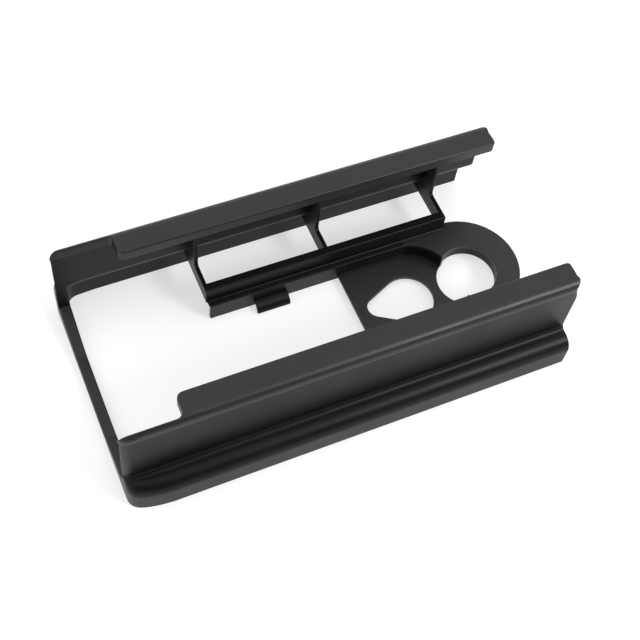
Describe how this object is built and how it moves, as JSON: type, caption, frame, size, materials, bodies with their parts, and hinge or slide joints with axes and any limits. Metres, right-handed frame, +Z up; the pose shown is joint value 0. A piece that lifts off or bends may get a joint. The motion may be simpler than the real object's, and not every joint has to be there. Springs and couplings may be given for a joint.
{
  "type": "slide-in carrier frame",
  "caption": "Open moulded frame: two stepped side walls with top flanges and ribbed guide rails, joined by an end bar and a plate with a keyhole and a round hole.",
  "frame": {"origin": "middle of the footprint, on the plane that the frame stands on", "axes": "+X from the end bar along the frame to the open end with the hole plate, +Y across the frame to the left side wall, +Z up to the top flanges"},
  "size_m": [0.2016, 0.1096, 0.0506],
  "materials": {
    "grained_plastic": "fine moulded grain, semi-matt near-black",
    "smooth_plastic": "smooth as-moulded, satin near-black"
  },
  "bodies": {
    "root": {"left_side_wall": "smooth_plastic", "right_side_wall": "smooth_plastic", "left_top_flange": "grained_plastic", "right_top_flange": "grained_plastic", "left_base_skirt": "smooth_plastic", "right_base_skirt": "smooth_plastic", "left_corner_post": "smooth_plastic", "right_corner_post": "smooth_plastic", "left_rib_1": "smooth_plastic", "right_rib_1": "smooth_plastic", "left_rib_2": "smooth_plastic", "right_rib_2": "smooth_plastic", "left_rib_3": "smooth_plastic", "right_rib_3": "smooth_plastic", "left_guide_rail": "smooth_plastic", "right_guide_rail": "smooth_plastic", "left_snap_tab": "smooth_plastic", "right_snap_tab": "smooth_plastic", "end_bar": "grained_plastic", "upper_plate": "grained_plastic", "hole_collar": "smooth_plastic", "left_recess_wall": "smooth_plastic", "right_recess_wall": "smooth_plastic", "keyhole_floor": "grained_plastic"}
  },
  "joints": []
}
